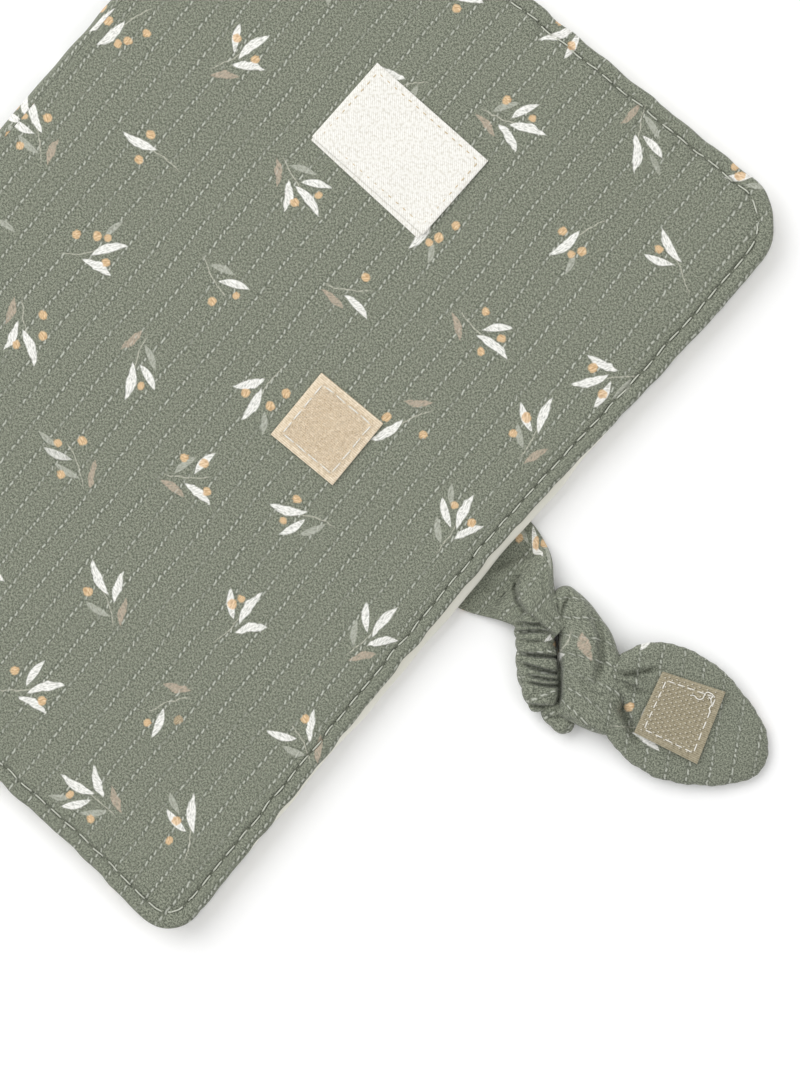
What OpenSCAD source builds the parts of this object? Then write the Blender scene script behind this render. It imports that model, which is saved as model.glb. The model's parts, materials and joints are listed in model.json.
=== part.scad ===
// Folding changing pad: four padded panels, folded like an accordion and held shut by a knotted tab.
// Origin: middle of the folded pad's underside. +X runs to the tab, +Y to the label's end, +Z up.

/* [Folded pad] */
// Length of the folded pad, from the left folds to the free ends
pad_length = 160; // [130:1:200]
// Width of the folded pad at its free ends
pad_width = 236; // [190:1:290]
// How much narrower the pad is at its folds than at its ends
fold_waist = 8; // [0:1:14]
// How far the inner fold stops short of the free ends
inner_setback = 3; // [2:0.5:8]
// Corner radius at the label's end
label_corner_r = 15.5; // [8:0.5:20]
// Corner radius at the other end
plain_corner_r = 10; // [8:0.5:20]
// Corner radius of the two inner panels at the inner fold
inner_corner_r = 6; // [3:0.5:9]

/* [Layers] */
// Thickness of the printed cotton
cover_t = 0.4; // [0.3:0.05:0.7]
// Thickness of the wadding
wadding_t = 1.5; // [1.2:0.1:3]
// Thickness of the waterproof lining
lining_t = 0.3; // [0.2:0.05:0.6]
// Air between two folded panels
panel_gap = 0.3; // [0.2:0.05:0.6]
// Width of the turned edge of the cotton
edge_roll = 1; // [0.6:0.1:2]

/* [Topstitch] */
// Distance of the topstitch from the edge
stitch_inset = 3.4; // [2.5:0.1:6]
// Width of the thread
thread_w = 0.4; // [0.3:0.05:0.6]
// Depth that the thread sinks into the cloth
thread_sink = 0.2; // [0.1:0.05:0.25]

/* [Label] */
// Length of the label along X
label_length = 36.8; // [25:0.1:50]
// Width of the label along Y
label_width = 24.5; // [15:0.1:35]
// Thickness of the folded label
label_t = 0.6; // [0.3:0.1:1]
// Distance of the label's middle from the label's end of the pad
label_from_end = 51.4; // [40:0.1:70]
// Place of the label's middle along X
label_x = -3.9; // [-20:0.1:20]

/* [Fastener patches] */
// Side of the square hook and loop patches
patch_side = 20; // [14:0.5:26]
// Thickness of each patch
patch_t = 1; // [0.6:0.1:1.6]
// Distance of the patch stitching from the patch's edge
patch_stitch_inset = 2.2; // [1.2:0.1:4]
// Place of the loop patch's middle along Y
loop_y = 2.3; // [-10:0.1:10]

/* [Tab] */
// Place of the strap's middle along Y
strap_y = 3.7; // [-10:0.1:10]
// Width of the strap at the seam
strap_root_w = 28; // [20:0.5:36]
// Width of the strap where it is gathered into the knot
strap_neck_w = 21; // [14:0.5:26]
// Thickness of the strap
strap_t = 2.4; // [1.6:0.1:3]
// Length of the strap between its two bends
strap_length = 13; // [11:0.5:18]
// Height of the knot
knot_h = 11.8; // [9:0.1:12]
// Length of the knot along X
knot_length = 33; // [28:0.5:40]
// Length of the leaf from the knot to its tip
leaf_length = 40; // [34:0.5:50]
// Width of the leaf
leaf_width = 32.5; // [26:0.5:40]
// Thickness of the leaf
leaf_t = 3; // [2:0.1:4]
// Angle by which the leaf is turned towards the label's end
leaf_turn = 16; // [0:1:25]
// Angle by which the leaf slopes down to its tip
leaf_slope = 7; // [4:0.5:8]

/* [Hidden] */
PANELS = ["back", "second", "third", "front"];
LAYERS = ["cover", "wadding", "lining", "topstitch"];

$fn = 64;
cut = 1;                     // how far a cutting solid runs past what it cuts
clear = 0.1;                 // play between a pocket and what lies in it
fold_play = 0.15;            // each panel stops this short of its fold line
bend_play = 0.5;             // distance of the strap's bend from the free ends
knot_play = 0.4;             // distance of the knot from the strap's second bend
closed_play = 0.3;           // air between the hook patch and the loop patch when shut

SAGE = "#87897b";
CREAM = "#dedccf";
WADDING = "#f2f2ee";
THREAD = "#b9bcae";
LABEL_COTTON = "#efece1";
LOOP_BEIGE = "#dac9b0";
HOOK_TAUPE = "#a19984";

panel_t = cover_t + wadding_t + lining_t;
pitch = panel_t + panel_gap;
flap_top = 3 * pitch + panel_t;
left_x = -pad_length / 2;
free_x = pad_length / 2;
inner_x = free_x - inner_setback;
end_half = pad_width / 2;
fold_half = end_half - fold_waist / 2;

// height of each fold line
back_fold_z = panel_t + panel_gap / 2;
inner_fold_z = back_fold_z + pitch;
front_fold_z = inner_fold_z + pitch;

// first bend of the tab, at the seam, and second bend, inside the knot's near end
bend_x = free_x + bend_play;
bend_z = strap_t;
shut_bend_z = bend_z + strap_length;
knot_bend_rise = 6.6;
knot_bend_x = bend_x + strap_length;
knot_bend_z = bend_z + knot_bend_rise;
// where the second bend lies once the strap stands up along the stack
shut_knot_x = bend_x - knot_bend_rise;
// height of the hook patch's face over the second bend, square to the sloping leaf
hook_face = shut_bend_z - (flap_top + patch_t + closed_play);
leaf_top = hook_face - patch_t;
leaf_base = knot_length + knot_play;
hook_reach = leaf_base + 13.2;
hook_y = strap_y + 1.2;
leaf_base_y = strap_y - 4.7;
// height of the leaf's middle where it leaves the knot
leaf_base_z = knot_bend_z + (leaf_top - leaf_t / 2) * cos(leaf_slope) - leaf_base * sin(leaf_slope);
// the shut tab lays the hook patch on the loop patch
loop_x = shut_knot_x - hook_reach;

// Middle of a corner's arc, and the point where the arc meets the slanting side. Both are given
// for the positive end. The inset moves the three sewn edges inwards.
run = free_x - left_x;
rise = end_half - fold_half;
side = sqrt(run * run + rise * rise);
function corner_mid(r) = [free_x - r, end_half - r * (side + rise) / run];
function side_end(r, inset) = corner_mid(r) + (r - inset) / side * [-rise, run];

// Outline of a panel with one free end: two rounded corners, and straight sides that pull in
// towards the fold.
module end_outline(inset = 0) {
    near = fold_half - inset * side / run;
    low = corner_mid(plain_corner_r);
    low_end = side_end(plain_corner_r, inset);
    high = corner_mid(label_corner_r);
    high_end = side_end(label_corner_r, inset);
    translate([low.x, -low.y]) circle(plain_corner_r - inset);
    translate(high) circle(label_corner_r - inset);
    polygon([[left_x + fold_play, -near], [low_end.x, -low_end.y], [low.x, -low.y],
             [free_x - inset, -low.y], [free_x - inset, high.y], high, high_end,
             [left_x + fold_play, near]]);
}

// Outline of an inner panel, folded at both ends.
module inner_outline(inset = 0) {
    cx = inner_x - fold_play - inner_corner_r;
    cy = fold_half - inner_corner_r;
    for (end = [1, -1]) {
        translate([cx, end * cy]) circle(inner_corner_r - min(inset, inner_corner_r - 0.5));
    }
    square_from([left_x + fold_play, -(fold_half - inset)], [cx, fold_half - inset]);
    square_from([cx - cut, -cy], [inner_x - fold_play, cy]);
}

module square_from(low, high) {
    translate(low) square(high - low);
}

module box_from(low, high) {
    translate(low) cube(high - low);
}

module outline(outer, inset = 0) {
    if (outer) end_outline(inset);
    else inner_outline(inset);
}

module slab(outer, z, t, inset = 0) {
    translate([0, 0, z]) linear_extrude(t) outline(outer, inset);
}

// The cloth of one panel: a thin sheet, and a turned edge as deep as the panel. The cotton lies
// below the wadding when face_down is true.
module panel_cover(outer, z, face_down) {
    groove_z = face_down ? z - cut : z + panel_t - thread_sink;
    pocket_z = face_down ? z + cover_t : z - cut;
    difference() {
        slab(outer, z, panel_t);
        slab(outer, pocket_z, panel_t - cover_t + cut, edge_roll);
        panel_thread(outer, groove_z, thread_sink + cut, clear);
    }
}

// One line of thread along the sewn edges, open at the folds.
module panel_thread(outer, z, depth, play = 0) {
    difference() {
        slab(outer, z, depth, stitch_inset - play);
        slab(outer, z - cut, depth + 2 * cut, stitch_inset + thread_w + play);
        box_from([left_x - cut, -fold_half + stitch_inset + thread_w + play, z - cut],
                 [left_x + 2 * cut, fold_half - stitch_inset - thread_w - play, z + depth + cut]);
    }
}

module panel(index, layer) {
    outer = index == 0 || index == 3;
    face_down = index == 0 || index == 2;
    z = index * pitch;
    lining_z = face_down ? z + cover_t + wadding_t : z;
    wadding_z = face_down ? z + cover_t : z + lining_t;
    thread_z = face_down ? z : z + panel_t - thread_sink;
    if (layer == "cover") {
        color(SAGE) difference() {
            panel_cover(outer, z, face_down);
            if (index == 0) tab_slot();
        }
    }
    if (layer == "wadding") {
        color(WADDING) difference() {
            slab(outer, wadding_z, wadding_t, edge_roll + clear);
            if (index == 0) tab_slot();
        }
    }
    if (layer == "lining") {
        color(CREAM) slab(outer, lining_z, lining_t, edge_roll + clear);
    }
    if (layer == "topstitch") {
        color(THREAD) panel_thread(outer, thread_z, thread_sink);
    }
}

// Half a tube of cloth round a fold line, from radius inside to radius outside.
module fold_strip(x, z, side, inside, outside) {
    half = fold_half - (side > 0 ? inner_corner_r : 0);
    difference() {
        translate([x, half, z]) rotate([90, 0, 0]) cylinder(r = outside, h = 2 * half);
        translate([x, half + cut, z]) rotate([90, 0, 0]) cylinder(r = inside, h = 2 * (half + cut));
        box_from([side > 0 ? x - 2 * pitch : x, -half - cut, z - 2 * pitch],
                 [side > 0 ? x : x + 2 * pitch, half + cut, z + 2 * pitch]);
    }
}

module outer_cloth_fold(x, z, side, t) {
    r = panel_t + panel_gap / 2;
    fold_strip(x, z, side, r - t, r);
}

module inner_cloth_fold(x, z, side, t) {
    fold_strip(x, z, side, panel_gap / 2, panel_gap / 2 + t);
}

module back_fold_cover() {
    color(SAGE) outer_cloth_fold(left_x, back_fold_z, -1, cover_t);
}

module back_fold_lining() {
    color(CREAM) inner_cloth_fold(left_x, back_fold_z, -1, lining_t);
}

module inner_fold_cover() {
    color(SAGE) inner_cloth_fold(inner_x, inner_fold_z, 1, cover_t);
}

module inner_fold_lining() {
    color(CREAM) outer_cloth_fold(inner_x, inner_fold_z, 1, lining_t);
}

module front_fold_cover() {
    color(SAGE) outer_cloth_fold(left_x, front_fold_z, -1, cover_t);
}

module front_fold_lining() {
    color(CREAM) inner_cloth_fold(left_x, front_fold_z, -1, lining_t);
}

// A thin frame of thread, sunk in the face of a patch or label of size by size.
module stitch_frame(length, width, inset, top, depth, play = 0) {
    difference() {
        box_from([-length / 2 + inset - play, -width / 2 + inset - play, top - depth],
                 [length / 2 - inset + play, width / 2 - inset + play,
                  play > 0 ? top + cut : top]);
        box_from([-length / 2 + inset + thread_w + play, -width / 2 + inset + thread_w + play,
                  top - depth - cut],
                 [length / 2 - inset - thread_w - play, width / 2 - inset - thread_w - play,
                  top + 2 * cut]);
    }
}

module sewn_plate(length, width, t, inset) {
    difference() {
        box_from([-length / 2, -width / 2, 0], [length / 2, width / 2, t]);
        stitch_frame(length, width, inset, t, thread_sink, clear);
    }
}

module at_label() {
    translate([label_x, end_half - label_from_end, flap_top]) children();
}

module at_loop() {
    translate([loop_x, loop_y, flap_top]) children();
}

module label() {
    color(LABEL_COTTON) at_label() sewn_plate(label_length, label_width, label_t, 1.7);
}

module label_stitches() {
    color(THREAD) at_label() stitch_frame(label_length, label_width, 1.7, label_t, thread_sink);
}

module loop_patch() {
    color(LOOP_BEIGE) at_loop() sewn_plate(patch_side, patch_side, patch_t, patch_stitch_inset);
}

module loop_patch_stitches() {
    color(THREAD) at_loop()
        stitch_frame(patch_side, patch_side, patch_stitch_inset, patch_t, thread_sink);
}

// The strap's sewn-in end, flat in the back panel's seam, and the slot that it needs.
root_depth = 8;
root_z = cover_t + wadding_t - 1;

module tab_root() {
    color(SAGE) box_from([free_x - root_depth, strap_y - strap_root_w / 2, root_z],
                         [free_x, strap_y + strap_root_w / 2, cover_t + wadding_t]);
}

module tab_slot() {
    box_from([free_x - root_depth - clear, strap_y - strap_root_w / 2 - clear, root_z],
             [free_x + cut, strap_y + strap_root_w / 2 + clear, panel_t + cut]);
}

module tab_strap() {
    near = bend_x - bend_play + 0.3;
    far = knot_bend_x - 0.1;
    color(SAGE) linear_extrude(strap_t)
        polygon([[near, strap_y - strap_root_w / 2], [far, strap_y - strap_neck_w / 2 - 2],
                 [far, strap_y + strap_neck_w / 2 - 2], [near, strap_y + strap_root_w / 2]]);
}

// An overhand knot, as one smooth lump: thickest near the strap, lower towards the leaf. Small
// ends reach down to the strap and out to the leaf, where the cloth runs in and out.
module tab_knot() {
    big = knot_h / 2;
    small = big - 0.9;
    tiny = strap_t / 2;
    near = knot_bend_x + knot_play;
    color(SAGE) hull() {
        knot_ball(near + big, strap_y - 1, big, big);
        knot_ball(near + big, strap_y - 10, big - 0.3, big - 0.3);
        knot_ball(near + tiny, strap_y - 2, tiny, tiny);
        knot_ball(near + knot_length * 0.52, strap_y - 14.5, small, small);
        knot_ball(near + knot_length * 0.66, strap_y + 0.5, small, small);
        knot_ball(near + knot_length - small, strap_y - 7, small, small - 0.3);
        knot_ball(near + knot_length - tiny, strap_y - 7, leaf_base_z, tiny);
    }
}

module knot_ball(x, y, z, r) {
    translate([x, y, z]) sphere(r, $fn = 32);
}

// The leaf's own frame: at the second bend, turned to the leaf's slope.
module on_leaf() {
    translate([knot_bend_x, 0, knot_bend_z]) rotate([0, leaf_slope, 0]) children();
}

// Pointed oval: two arcs that meet at the tip, cut off square at the knot.
module leaf_outline(inset = 0) {
    length = leaf_length + 4;
    r = (length * length + leaf_width * leaf_width) / (4 * leaf_width);
    translate([leaf_base, leaf_base_y]) rotate(leaf_turn) {
        intersection() {
            translate([leaf_length - length / 2, leaf_width / 2 - r]) circle(r - inset);
            translate([leaf_length - length / 2, r - leaf_width / 2]) circle(r - inset);
            square_from([inset, -leaf_width], [leaf_length + cut, leaf_width]);
        }
    }
}

module tab_leaf() {
    color(SAGE) on_leaf() difference() {
        translate([0, 0, leaf_top - leaf_t]) linear_extrude(leaf_t) leaf_outline();
        translate([0, 0, leaf_top - leaf_t + cover_t]) linear_extrude(leaf_t - 2 * cover_t)
            leaf_outline(edge_roll);
    }
}

module tab_leaf_wadding() {
    color(WADDING) on_leaf()
        translate([0, 0, leaf_top - leaf_t + cover_t]) linear_extrude(leaf_t - 2 * cover_t)
            leaf_outline(edge_roll + clear);
}

module at_hook() {
    on_leaf() translate([hook_reach, hook_y, leaf_top]) rotate([0, 0, leaf_turn]) children();
}

module hook_patch() {
    color(HOOK_TAUPE) at_hook() sewn_plate(patch_side, patch_side, patch_t, patch_stitch_inset);
}

module hook_patch_stitches() {
    color(THREAD) at_hook()
        stitch_frame(patch_side, patch_side, patch_stitch_inset, patch_t, thread_sink);
}

for (index = [0:3]) {
    for (layer = LAYERS) {
        name = str(PANELS[index], "_", layer);
        panel(index, layer);
    }
}
back_fold_cover();
back_fold_lining();
inner_fold_cover();
inner_fold_lining();
front_fold_cover();
front_fold_lining();
label();
label_stitches();
loop_patch();
loop_patch_stitches();
tab_root();
tab_strap();
tab_knot();
tab_leaf();
tab_leaf_wadding();
hook_patch();
hook_patch_stitches();
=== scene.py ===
# %% [markdown]
# # A folding changing pad
# The pad is four thin cushions in a row, folded like an accordion. Its outside is printed sage
# cotton and its inside is a cream waterproof lining. A tab of the same cotton, tied in one knot,
# closes the folded pad with a patch of hooks on its leaf and a patch of loops on the flap.
# The solid model gives every size and every fold line, so the first step is to load it.

# %% Load the solid model
import json
import math

import bpy
import numpy as np
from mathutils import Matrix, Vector


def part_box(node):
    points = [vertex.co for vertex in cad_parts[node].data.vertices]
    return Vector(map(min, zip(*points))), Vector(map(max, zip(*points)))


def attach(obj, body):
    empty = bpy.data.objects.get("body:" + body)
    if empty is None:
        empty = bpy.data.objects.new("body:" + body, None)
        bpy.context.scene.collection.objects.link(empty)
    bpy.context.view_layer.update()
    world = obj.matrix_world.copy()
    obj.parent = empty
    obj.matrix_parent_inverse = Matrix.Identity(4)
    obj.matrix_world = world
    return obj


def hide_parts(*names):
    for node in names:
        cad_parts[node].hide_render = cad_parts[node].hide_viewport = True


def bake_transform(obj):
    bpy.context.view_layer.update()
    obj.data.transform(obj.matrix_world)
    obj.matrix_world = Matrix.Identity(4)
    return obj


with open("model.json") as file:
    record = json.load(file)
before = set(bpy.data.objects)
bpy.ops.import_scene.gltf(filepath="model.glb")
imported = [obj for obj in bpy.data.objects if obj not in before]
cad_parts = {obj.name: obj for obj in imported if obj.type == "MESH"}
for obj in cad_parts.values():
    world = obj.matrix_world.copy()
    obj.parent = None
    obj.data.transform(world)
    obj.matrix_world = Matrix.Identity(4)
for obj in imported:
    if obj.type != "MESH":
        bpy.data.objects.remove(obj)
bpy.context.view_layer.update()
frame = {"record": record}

MM = 0.001
joints = {j["name"]: j for j in frame["record"]["behaviour"]["joints"]}

# %% [markdown]
# ## Sizes
# Everything below works in millimetres and turns them to metres only when a mesh is made. The
# fold lines are the joints' own axes, and each panel's faces are those of its cover.

# %% Fold lines and panel faces, in millimetres
def box_mm(node):
    low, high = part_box(node)
    return np.array(low) / MM, np.array(high) / MM


def joint_mm(name):
    return np.array(joints[name]["pos_m"]) / MM


LEFT = joint_mm("unfold")[0]
INNER = joint_mm("inner_fold")[0]
FREE = box_mm("front_cover")[1][0]
# half the pad's width at its free end, where the cloth lies loose, and at the folds
HALF_END = 118.0
HALF_FOLD = box_mm("second_cover")[1][1]
FACES = {p: (box_mm(p + "_cover")[0][2], box_mm(p + "_cover")[1][2])
         for p in ("back", "second", "third", "front")}
FLAP_TOP = FACES["front"][1]
# which way each panel's print faces in the folded pad, and the seed of its wrinkles
PRINT_UP = {"back": False, "second": True, "third": False, "front": True}
SEEDS = {"back": 31, "second": 51, "third": 71, "front": 11}
# corner radius at the label's end and at the plain end
LABEL_R, PLAIN_R = 15.5, 10.0
STITCH_INSET = 3.5
STITCH_PITCH = 4.8
print("fold lines at", LEFT, INNER, "free end at", FREE, "flap top at", round(FLAP_TOP, 2))

# %% [markdown]
# ## Camera
# The pad lies flat and is looked at from straight above, turned so that its long side runs up to
# the right. A long lens far away keeps its sides parallel, as they are on the real pad.

# %% Camera straight above
TURN = math.radians(40.5)
# how much of the flap the view takes in from bottom to top, and the place at its middle
VIEW_HEIGHT = 264.3
VIEW_X, VIEW_Y = 58.0, -5.9
LENS = 200.0
SENSOR = 36.0

camera_data = bpy.data.cameras.new("camera")
camera_data.lens = LENS
camera_data.sensor_width = SENSOR
camera = bpy.data.objects.new("camera", camera_data)
camera.location = (VIEW_X * MM, VIEW_Y * MM, (LENS / SENSOR * VIEW_HEIGHT + FLAP_TOP) * MM)
camera.rotation_euler = (0, 0, TURN)
camera_data.clip_start, camera_data.clip_end = 0.05, 20
bpy.context.scene.collection.objects.link(camera)
bpy.context.scene.camera = camera
print("camera", round(camera.location.z, 3), "m up")

# %% [markdown]
# ## Floor and light
# The pad lies on a bare white table that burns out to pure white, with soft shadows on the side
# away from one big window. A large plane and one wide lamp give that. A weak second lamp and a
# pale world fill the shadows.

# %% Floor, world and lamps
bpy.ops.mesh.primitive_plane_add(size=6, location=(0, 0, 0))
floor = bpy.context.object
floor.name = "floor"
scene = bpy.context.scene
scene.view_settings.view_transform = "Standard"
scene.view_settings.look = "None"
world = bpy.data.worlds.new("white room")
scene.world = world
world.use_nodes = True
world.node_tree.nodes["Background"].inputs["Color"].default_value = (1.0, 1.0, 1.0, 1)
world.node_tree.nodes["Background"].inputs["Strength"].default_value = 0.62


def lamp(name, along_right, along_up, height, size, power):
    """A square lamp, placed by how far it stands to the view's right and top, in metres."""
    right = Vector((math.cos(TURN), math.sin(TURN), 0))
    up = Vector((-math.sin(TURN), math.cos(TURN), 0))
    data = bpy.data.lights.new(name, "AREA")
    data.size, data.energy = size, power
    light = bpy.data.objects.new(name, data)
    middle = Vector((VIEW_X, VIEW_Y, 0)) * MM
    light.location = middle + right * along_right + up * along_up + Vector((0, 0, height))
    light.rotation_euler = (middle - light.location).to_track_quat("-Z", "Y").to_euler()
    scene.collection.objects.link(light)
    return light


lamp("window", -0.8, 0.75, 1.25, 1.5, 19)
lamp("fill", 0.9, -0.2, 1.6, 1.2, 5)
print("floor and", len(bpy.data.lights), "lamps")

# %% [markdown]
# ## Shader maths
# A woven, printed cloth needs a lot of small sums. This class wraps one socket of a shader, so
# that `a * 2 + b` adds the Math nodes that work it out.

# %% A socket that can be used in sums
class Field:
    def __init__(self, tree, socket):
        self.tree = tree
        self.socket = socket

    def math(self, operation, *others, clamp=False):
        node = self.tree.nodes.new("ShaderNodeMath")
        node.operation = operation
        node.use_clamp = clamp
        for place, value in zip(node.inputs, (self, *others)):
            plug(self.tree, value, place)
        return Field(self.tree, node.outputs[0])

    def __add__(self, other):
        return self.math("ADD", other)

    def __sub__(self, other):
        return self.math("SUBTRACT", other)

    def __rsub__(self, other):
        return self.math("MULTIPLY_ADD", -1.0, other)

    def __mul__(self, other):
        return self.math("MULTIPLY", other)

    def __truediv__(self, other):
        return self.math("DIVIDE", other)

    __radd__ = __add__
    __rmul__ = __mul__

    def above(self, edge, soft):
        """0 below edge and 1 above it, over a width of soft."""
        return ((self - (edge - soft / 2)) * (1 / soft)).math("ADD", 0.0, clamp=True)

    def below(self, edge, soft):
        return 1 - self.above(edge, soft)


def plug(tree, value, place):
    if isinstance(value, Field):
        tree.links.new(value.socket, place)
    else:
        place.default_value = value


# %% A material, and one method for every other node
def rgb(code):
    """A colour such as #87897b, as Blender's linear numbers."""
    parts = [int(code[i:i + 2], 16) / 255 for i in (1, 3, 5)]
    return (*[c / 12.92 if c < 0.04045 else ((c + 0.055) / 1.055) ** 2.4 for c in parts], 1.0)


class Finish:
    def __init__(self, name, colour, roughness=0.85, sheen=0.0):
        self.material = bpy.data.materials.new(name)
        self.material.use_nodes = True
        self.material.diffuse_color = rgb(colour)
        self.tree = self.material.node_tree
        self.shader = self.tree.nodes["Principled BSDF"]
        self.shader.inputs["Base Color"].default_value = rgb(colour)
        self.shader.inputs["Roughness"].default_value = roughness
        self.shader.inputs["Specular IOR Level"].default_value = 0.25
        self.shader.inputs["Sheen Weight"].default_value = sheen

    def node(self, kind, settings=None, output=0, **values):
        made = self.tree.nodes.new("ShaderNode" + kind)
        for key, value in (settings or {}).items():
            setattr(made, key, value)
        for key, value in values.items():
            plug(self.tree, value, made.inputs[key])
        return Field(self.tree, made.outputs[output])

    def cloth(self):
        """The cloth's own coordinates, in millimetres along the pad and across it."""
        uv = self.node("UVMap", {"uv_map": "cloth"})
        x = self.node("SeparateXYZ", output=0, Vector=uv)
        y = Field(self.tree, x.socket.node.outputs[1])
        return x * 1000.0, y * 1000.0

    def join(self, x, y, z=0.0):
        return self.node("CombineXYZ", X=x, Y=y, Z=z)

    def noise(self, vector, scale, detail=2.0):
        return self.node("TexNoise", Vector=vector, Scale=scale, Detail=detail)

    def mix(self, mask, low, high):
        node = self.tree.nodes.new("ShaderNodeMix")
        node.data_type = "RGBA"
        # sockets 6 and 7 are the two colours, and output 2 is their mix
        plug(self.tree, mask, node.inputs[0])
        plug(self.tree, low, node.inputs[6])
        plug(self.tree, high, node.inputs[7])
        return Field(self.tree, node.outputs[2])

    def paint(self, colour=None, height=None, depth=0.1, roughness=None):
        """Colour, relief in millimetres and roughness to the shader."""
        if colour is not None:
            plug(self.tree, colour, self.shader.inputs["Base Color"])
        if roughness is not None:
            plug(self.tree, roughness, self.shader.inputs["Roughness"])
        if height is not None:
            bump = self.node("Bump", Height=height, Strength=1.0, Distance=depth * MM)
            plug(self.tree, bump, self.shader.inputs["Normal"])
        return self.material


# %% [markdown]
# ## The printed cotton
# The cloth is a plain weave in sage yarns of slightly different tones, so it looks grainy. Every
# few millimetres runs a pinstripe of long pale float stitches with a shadow beside it. Over that
# lies a scattered print of small sprigs: pointed leaves in white, grey and pink beige, with ochre
# berries on thin stems. The sprigs come from a grid of cells. Each cell has its own turn and drops
# some of its leaves by chance, so that no two look alike.

# %% Weave and pinstripes
STRIPE_PITCH = 5.4


def weave(f, x, y):
    """Two crossing sets of yarns, as a relief from 0 to 1, and a patchy tone."""
    wander = f.noise(f.join(x * 0.02, y * 0.02), 9.0, 1.0)
    across = (x * 15.0 + wander * 5.0).math("SINE")
    along = (y * 15.0 + wander * 5.0).math("SINE")
    slub = f.noise(f.join(x * 3.6, y * 1.8), 1.0, 2.0)
    flecks = f.noise(f.join(x * 1.9, y * 3.9), 1.0, 2.0)
    return across * along * 0.25 + 0.5, slub * 0.5 + flecks * 0.5


def stripes(f, x, y):
    """Pale broken threads and the shadow beside them, as two masks."""
    sway = f.noise(f.join(x * 0.012, y * 0.03), 1.0, 2.0)
    place = (x + sway * 2.4) / STRIPE_PITCH
    lane = place.math("FLOOR")
    start = f.node("TexWhiteNoise", {"noise_dimensions": "1D"}, W=lane)
    dash = (y / 1.75 + start * 7.0 + f.noise(f.join(lane, y * 0.11), 1.0, 1.0) * 3.0).math("FRACT")
    kink = f.noise(f.join(lane * 7.3, y * 0.8), 1.0, 2.0) - 0.5
    off = (place.math("FRACT") - 0.5) * STRIPE_PITCH + kink * 0.9 + (dash - 0.5) * 0.42
    broken = dash.above(0.12, 0.16) * dash.below(0.74, 0.2)
    keep = f.noise(f.join(lane * 3.1, y * 0.2), 1.0, 2.0).above(0.45, 0.2) * 0.7 + 0.3
    fray = f.noise(f.join(x * 4.0, y * 1.6), 1.0, 2.0) + 0.35
    pale = off.math("ABSOLUTE").below(0.21, 0.2) * broken * keep * fray
    shade = off.math("ABSOLUTE").below(0.5, 0.5) * (keep * 0.8 + 0.2)
    return pale, shade


# %% Sprigs of the print
CELL_X, CELL_Y = 29.0, 31.0
# each leaf: x and y of its middle, angle, length, width, tone, share of the cells that have it
LEAVES = [(5.6, 0.4, 4, 9.8, 2.3, "white", 0.85), (3.2, 4.2, 46, 7.8, 2.0, "white", 0.6),
          (-1.6, 3.5, 38, 7.2, 1.8, "grey", 0.5), (2.0, -3.4, -40, 8.4, 2.1, "white", 0.6),
          (-4.2, -2.2, -34, 7.4, 1.9, "pink", 0.4), (7.6, 5.0, 30, 6.0, 1.6, "grey", 0.35)]
# each berry: x, y, radius, share of the cells that have it
BERRIES = [(3.4, 3.9, 1.15, 0.6), (5.9, 2.9, 0.95, 0.55), (-1.6, 5.2, 1.05, 0.55),
           (4.2, -3.0, 1.1, 0.6)]
INKS = {"white": "#f4f3ee", "grey": "#b9bbaf", "pink": "#c0ae9b", "stem": "#c9c7b8"}


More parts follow.
